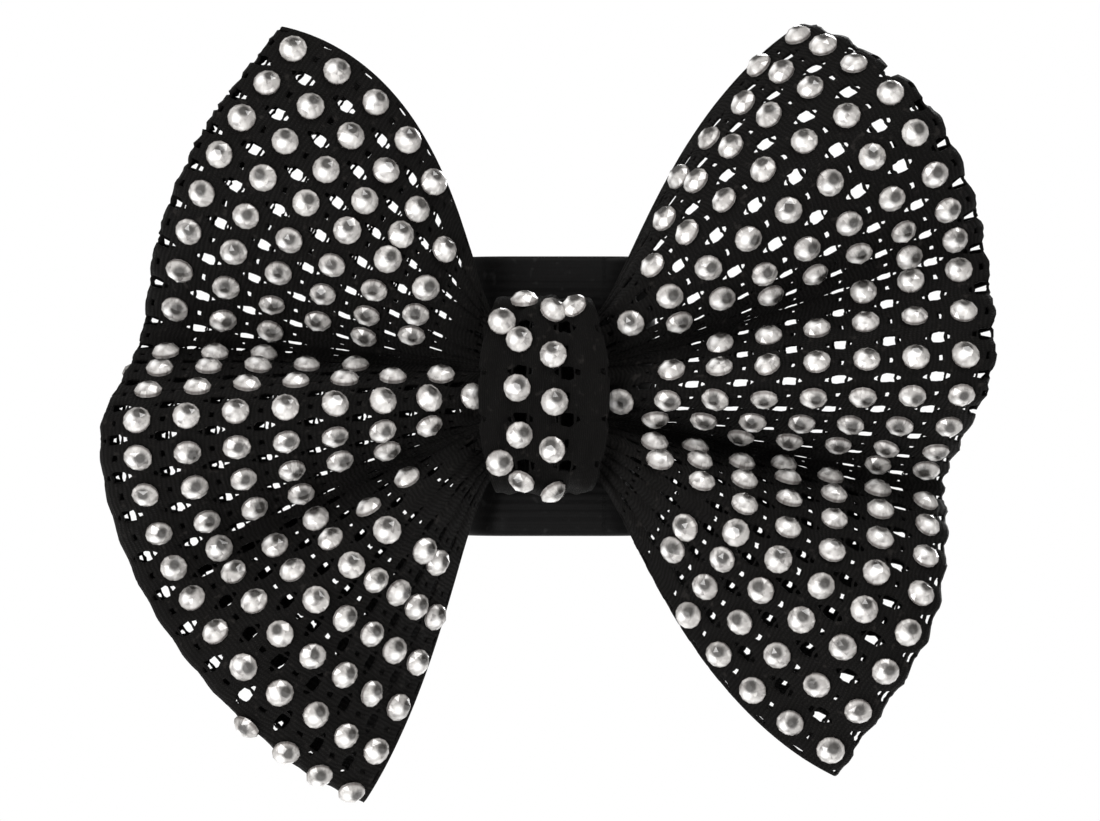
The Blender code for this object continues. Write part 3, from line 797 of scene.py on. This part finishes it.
WRAP_HALF_HEIGHT = 14.0
WRAP_HALF_DEPTH = 7.4
WRAP_HALF_WIDTH_FRONT = 9.3
WRAP_HALF_WIDTH_END = 6.6
WRAP_CROWN = 0.35
WRAP_INSET = 0.35  # how far its creased middle lies inside the outline
WRAP_PITCH = 6.7
WRAP_CRYSTAL_LIFT = 0.1
# Columns of crystals: distance from the waist's middle, first crystal's place round the wrap, count.
WRAP_COLUMNS = ((-7.0, -9.6, 1), (-7.0, 10.8, 1), (-3.7, -12.2, 5), (1.4, -14.2, 5), (5.6, 13.2, 1))

angle_table = np.linspace(-math.pi, math.pi, 1441)
wrap_y, wrap_z = superellipse(WRAP_HALF_DEPTH, WRAP_HALF_HEIGHT, angle_table)
wrap_length = np.concatenate([[0.0], np.cumsum(np.hypot(np.diff(wrap_y), np.diff(wrap_z)))])
wrap_length -= np.interp(0.0, angle_table, wrap_length)
WRAP_ROUND = wrap_length[-1] - wrap_length[0]


def wrap_surface(rows, columns):
    """The band: rows count pitches round the waist from the front's middle, columns run from -1 to
    1 across it. It is the outline round the waist, wider in front, crowned, and creased by three
    sets of slow waves that lie aslant each other. Its edges rise and dip a little more."""
    angle = np.interp(rows * WRAP_PITCH, wrap_length, angle_table)
    pull = np.abs(np.sin(angle)) ** 2
    half_width = WRAP_HALF_WIDTH_FRONT + (WRAP_HALF_WIDTH_END - WRAP_HALF_WIDTH_FRONT) * pull
    crease = 0.22 * np.sin(7.0 * columns + 2.2 * np.sin(2 * angle + 1.0) + rows)
    crease = crease + 0.14 * np.sin(17 * columns - 3.0 * rows) + 0.12 * np.sin(5.0 * rows + 6.0 * columns)
    fray = 0.35 * np.sin(3.3 * rows + 1.0) * columns**2
    grow = WRAP_CROWN * (1 - columns**2) + crease - WRAP_INSET + fray
    y, z = superellipse(WRAP_HALF_DEPTH + grow, WRAP_HALF_HEIGHT + grow, angle)
    return np.stack([WAIST_X + columns * half_width, BOW_MID_Y + y, z], axis=-1)


WRAP_ROWS = WRAP_ROUND / WRAP_PITCH / 2
WRAP_HALF_COLUMNS = WRAP_HALF_WIDTH_FRONT / WRAP_PITCH
wrap_finish = net_material("black wrap net", 23.0, (0.0065, 0.006, 0.0056))
wrap = net_piece(
    "centre_wrap_net",
    lambda rows, columns: wrap_surface(rows, columns / WRAP_HALF_COLUMNS),
    lambda rows, columns: np.ones(rows.shape, bool),
    (-WRAP_ROWS, WRAP_ROWS),
    (-WRAP_HALF_COLUMNS, WRAP_HALF_COLUMNS),
    wrap_finish,
    seed=31,
    cut=(True, True),
)
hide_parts("centre_wrap")
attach(wrap, "waist")

wrap_places, wrap_out = [], []
for column_x, first, count in WRAP_COLUMNS:
    arc = first + WRAP_PITCH * np.arange(count)
    rows = arc / WRAP_PITCH
    columns = np.full(count, column_x / WRAP_HALF_WIDTH_FRONT)
    wrap_places.append(wrap_surface(rows, columns))
    wrap_out.append(facing(wrap_surface, rows, columns, np.array([0.0, -1.0, 0.0])))
wrap_places, wrap_out = np.concatenate(wrap_places), np.concatenate(wrap_out)
wrap_places += wrap_out * (NET_THICK / 2 + WRAP_CRYSTAL_LIFT)
wrap_crystals = set_crystals("wrap_crystals", wrap_places, wrap_out, crystal_finish, seed=3)
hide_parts(*[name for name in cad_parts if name.startswith("wrap_crystal_")])
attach(wrap_crystals, "waist")

# ---- The elastic cuff ----------------------------------------------------------------------------
# Wide satin-faced elastic, woven over rubber cores that show as fine ribs round it. Its lapped ends
# are sewn together behind with two zigzag lines, and four tacks hold it to the bow.

CUFF_HEIGHT = 40.4
CUFF_HALF_WIDTH = 14.2
CUFF_DEPTH = 14.4
CUFF_WALL = 1.4
CUFF_RIB = 1.25  # between rubber cores
CUFF_RIB_RISE = 0.05
CUFF_INSET = 0.08  # how far its face between cores lies inside the wall


def cuff_band():
    """The band: a rounded section carried round a plan of two straight runs and two half circles.
    The section's faces swell by a squared sine at each rubber core."""
    radius = CUFF_DEPTH / 2 - CUFF_WALL / 2
    straight = CUFF_HALF_WIDTH - CUFF_DEPTH / 2
    turn = np.linspace(-math.pi / 2, math.pi / 2, 33)
    run = np.linspace(-1, 1, 21)[1:-1]
    bend_x, bend_y = radius * np.cos(turn), radius * np.sin(turn)
    plan_x = np.concatenate([straight + bend_x, -straight * run, -straight - bend_x, straight * run])
    plan_y = np.concatenate([bend_y, radius + 0 * run, -bend_y, -radius + 0 * run])
    out_x = np.concatenate([np.cos(turn), 0 * run, -np.cos(turn), 0 * run])
    out_y = np.concatenate([np.sin(turn), 1 + 0 * run, -np.sin(turn), -1 + 0 * run])
    high = np.linspace(-1, 1, 161)
    edge = np.sqrt(np.clip(1 - np.abs(high) ** 28, 0, 1))
    cores = np.sin(math.pi * high * CUFF_HEIGHT / 2 / CUFF_RIB) ** 2
    half = (CUFF_WALL / 2 - CUFF_INSET + CUFF_RIB_RISE * cores) * edge
    section_out = np.concatenate([half, -half[::-1][1:-1]])
    section_z = np.concatenate([high, high[::-1][1:-1]]) * CUFF_HEIGHT / 2
    points = np.stack(
        [
            plan_x[:, None] + out_x[:, None] * section_out,
            plan_y[:, None] + out_y[:, None] * section_out,
            section_z + 0 * plan_x[:, None],
        ],
        axis=-1,
    )
    step = np.hypot(np.diff(plan_x, prepend=plan_x[-1]), np.diff(plan_y, prepend=plan_y[-1]))
    place = np.stack([np.cumsum(step)[:, None] + 0 * section_z, section_z + 0 * step[:, None]], axis=-1)
    index = np.arange(points.shape[0] * points.shape[1]).reshape(points.shape[:2])
    right, above = np.roll(index, -1, axis=0), np.roll(index, -1, axis=1)
    diagonal = np.roll(right, -1, axis=1)
    faces = np.stack([index, right, diagonal, above], axis=-1).reshape(-1, 4)
    return points, faces, place


def satin_material():
    """Black satin: short floats of thread side by side across the ribs, in bricks, with painted shade in
    the thin lines between them, a soft sheen and a little lint."""
    material, tree, shader = new_material(
        "black satin elastic", roughness=0.45, specular_ior_level=0.08, sheen_weight=0.01, anisotropic=0.4
    )
    strip = add_node(tree, "UVMap", uv_map="strip").outputs[0]
    place = add_node(tree, "TexCoord").outputs["Object"]
    weave = add_node(
        tree,
        "TexBrick",
        {
            "Vector": strip,
            "Color1": (1.0, 1.0, 1.0, 1.0),
            "Color2": (0.55, 0.55, 0.55, 1.0),
            "Mortar": (0.0, 0.0, 0.0, 1.0),
            "Scale": 1.0,
            "Mortar Size": 0.035,
            "Brick Width": 0.24,
            "Row Height": 0.5,
        },
    )
    lint = add_group(tree, LINT, {"Vector": place, "Speck Size": 700.0})
    # Painted shade: the thin lines between floats are darker than the floats.
    between, on_float = (0.0012, 0.0012, 0.0012, 1.0), (0.0045, 0.0043, 0.0043, 1.0)
    woven = mixed(tree, weave.outputs[0], between, on_float)
    cloudy = mixed(tree, lint.outputs["Clouds"], woven, (0.0026, 0.0026, 0.0027, 1.0))
    dusty = dusted(tree, lint, 0.2, cloudy, (0.05, 0.05, 0.05, 1.0))
    bump = add_node(tree, "Bump", {"Strength": 0.5, "Distance": 0.00006, "Height": weave.outputs[0]})
    tree.links.new(dusty, shader.inputs["Base Color"])
    tree.links.new(bump.outputs[0], shader.inputs["Normal"])
    rough = maths(tree, "MULTIPLY_ADD", lint.outputs["Clouds"], 0.2, 0.36)
    tree.links.new(rough, shader.inputs["Roughness"])
    return material


satin_finish = satin_material()
points, faces, place = cuff_band()
cuff = mesh_object("cuff_elastic", points, faces, satin_finish, place)
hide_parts("cuff_front_run", "cuff_back_run")
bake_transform(cuff)


LAP = (8.0, 0.9, 38.0)  # its width, thickness and height
LAP_SUNK = 0.3  # between it and the back run's inner face
LAP_INSET = 0.06
LAP_Y = CUFF_DEPTH / 2 - CUFF_WALL - LAP_SUNK - LAP[1] / 2


def seam_lap():
    """The lapped end inside the back run: a slab of rounded section, from top to bottom, with the
    cuff's ribs, that thins to its sides and to its top and bottom by a high power of the place."""
    around = np.linspace(0.0, 2 * math.pi, 48, endpoint=False)[:, None]
    high = np.linspace(-1.0, 1.0, 121)[None, :]
    c, s = np.cos(around), np.sin(around)
    ends = np.clip(1 - np.abs(high) ** 40, 0.0, 1.0) ** 0.5
    cores = np.sin(math.pi * high * LAP[2] / 2 / CUFF_RIB) ** 2
    thick = (LAP[1] / 2 - LAP_INSET + CUFF_RIB_RISE * cores) * ends
    x = LAP[0] / 2 * np.sign(c) * np.abs(c) ** 0.35 * (0.985 + 0.015 * ends)
    y = LAP_Y + thick * np.sign(s) * np.abs(s) ** 0.5
    z = LAP[2] / 2 * high + 0 * around
    place = np.stack([x + 0 * high, z], axis=-1)
    return np.stack([x, y, z], axis=-1), closed_grid_faces(48, 121), place


points, faces, place = seam_lap()
lap = mesh_object("cuff_lap", points, faces, satin_finish, place)
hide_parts("cuff_seam_overlap")
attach(lap, "cuff_back")

# ---- Floor, light and camera ---------------------------------------------------------------------
# A pale round floor well below the bow, light all round that is stronger from low on the left,
# softboxes low on the left, above on the right and behind, and a long lens straight in front.

FLOOR_Z = -0.30
FLOOR_RADIUS = 3.0
FLOOR_SIDES = 96
FLOOR_RINGS = 24
CAMERA_AWAY = 0.9
CAMERA_AIM = (-1.14 * MM, -2.07 * MM)
VIEW_WIDTH = 0.1573
LIGHT_SIDE = (-0.5, -0.75, -0.43)

ring = np.linspace(0.0, 2 * math.pi, FLOOR_SIDES, endpoint=False)[:, None]
radii = np.linspace(0.0, 1.0, FLOOR_RINGS) * FLOOR_RADIUS / MM
floor_height = FLOOR_Z / MM + 0 * ring * radii
floor_points = np.stack([np.cos(ring) * radii, np.sin(ring) * radii, floor_height], axis=-1)
floor_finish, floor_tree, floor_shader = new_material(
    "pale floor", roughness=0.9, emission_color=(1.0, 1.0, 1.0, 1.0), emission_strength=0.25
)
floor_grain = add_node(floor_tree, "TexNoise", {"Scale": 40.0, "Detail": 4.0})
floor_tree.links.new(
    mixed(floor_tree, floor_grain.outputs[0], (0.90, 0.90, 0.90, 1.0), (0.94, 0.94, 0.94, 1.0)),
    floor_shader.inputs["Base Color"],
)
floor_faces = closed_grid_faces(FLOOR_SIDES, FLOOR_RINGS)[:, ::-1]
floor = mesh_object("floor", floor_points, floor_faces, floor_finish)

world = bpy.data.worlds.new("soft light")
bpy.context.scene.world = world
world.use_nodes = True
sky = world.node_tree
sky.nodes.clear()
seen = add_node(sky, "Background", {"Color": (1.0, 1.0, 1.0, 1.0), "Strength": 1.0})
looking = add_node(sky, "TexCoord").outputs["Generated"]
towards = add_node(sky, "VectorMath", {0: looking, 1: LIGHT_SIDE}, operation="DOT_PRODUCT")
brightness = add_node(
    sky,
    "MapRange",
    {
        "Value": towards.outputs["Value"],
        "From Min": -0.6,
        "From Max": 0.9,
        "To Min": 0.25,
        "To Max": 1.0,
    },
).outputs[0]
light = add_node(sky, "Background", {"Color": (1.0, 0.985, 0.97, 1.0), "Strength": brightness})
choose = add_node(sky, "MixShader", {0: add_node(sky, "LightPath").outputs["Is Camera Ray"]})
sky.links.new(light.outputs[0], choose.inputs[1])
sky.links.new(seen.outputs[0], choose.inputs[2])
sky.links.new(choose.outputs[0], add_node(sky, "OutputWorld").inputs["Surface"])


def add_softbox(name, place, size, power):
    """A square area light that faces the bow."""
    lamp = bpy.data.lights.new(name, "AREA")
    lamp.shape = "SQUARE"
    lamp.size = size
    lamp.energy = power
    box = bpy.data.objects.new(name, lamp)
    box.location = place
    back = np.array(place) / np.linalg.norm(place)
    across = np.cross([0.0, 0.0, 1.0], back)
    across /= np.linalg.norm(across)
    turn = np.stack([across, np.cross(back, across), back])
    box.rotation_euler = (
        math.atan2(turn[1][2], turn[2][2]),
        math.asin(-turn[0][2]),
        math.atan2(turn[0][1], turn[0][0]),
    )
    bpy.context.scene.collection.objects.link(box)


add_softbox("softbox_low_left", (-0.55, -0.8, -0.1), 0.5, 6.0)
add_softbox("softbox_above", (0.35, -0.5, 0.9), 0.6, 7.0)
add_softbox("softbox_behind", (0.3, 0.9, 0.35), 0.6, 7.0)

camera_data = bpy.data.cameras.new("camera")
camera_data.lens = camera_data.sensor_width * CAMERA_AWAY / VIEW_WIDTH
camera_data.clip_start = 0.05
camera = bpy.data.objects.new("camera", camera_data)
camera.location = (CAMERA_AIM[0], BOW_MID_Y * MM - CAMERA_AWAY, CAMERA_AIM[1])
camera.rotation_euler = (math.pi / 2, 0.0, 0.0)
bpy.context.scene.collection.objects.link(camera)
bpy.context.scene.camera = camera
bpy.context.scene.view_settings.view_transform = "Standard"
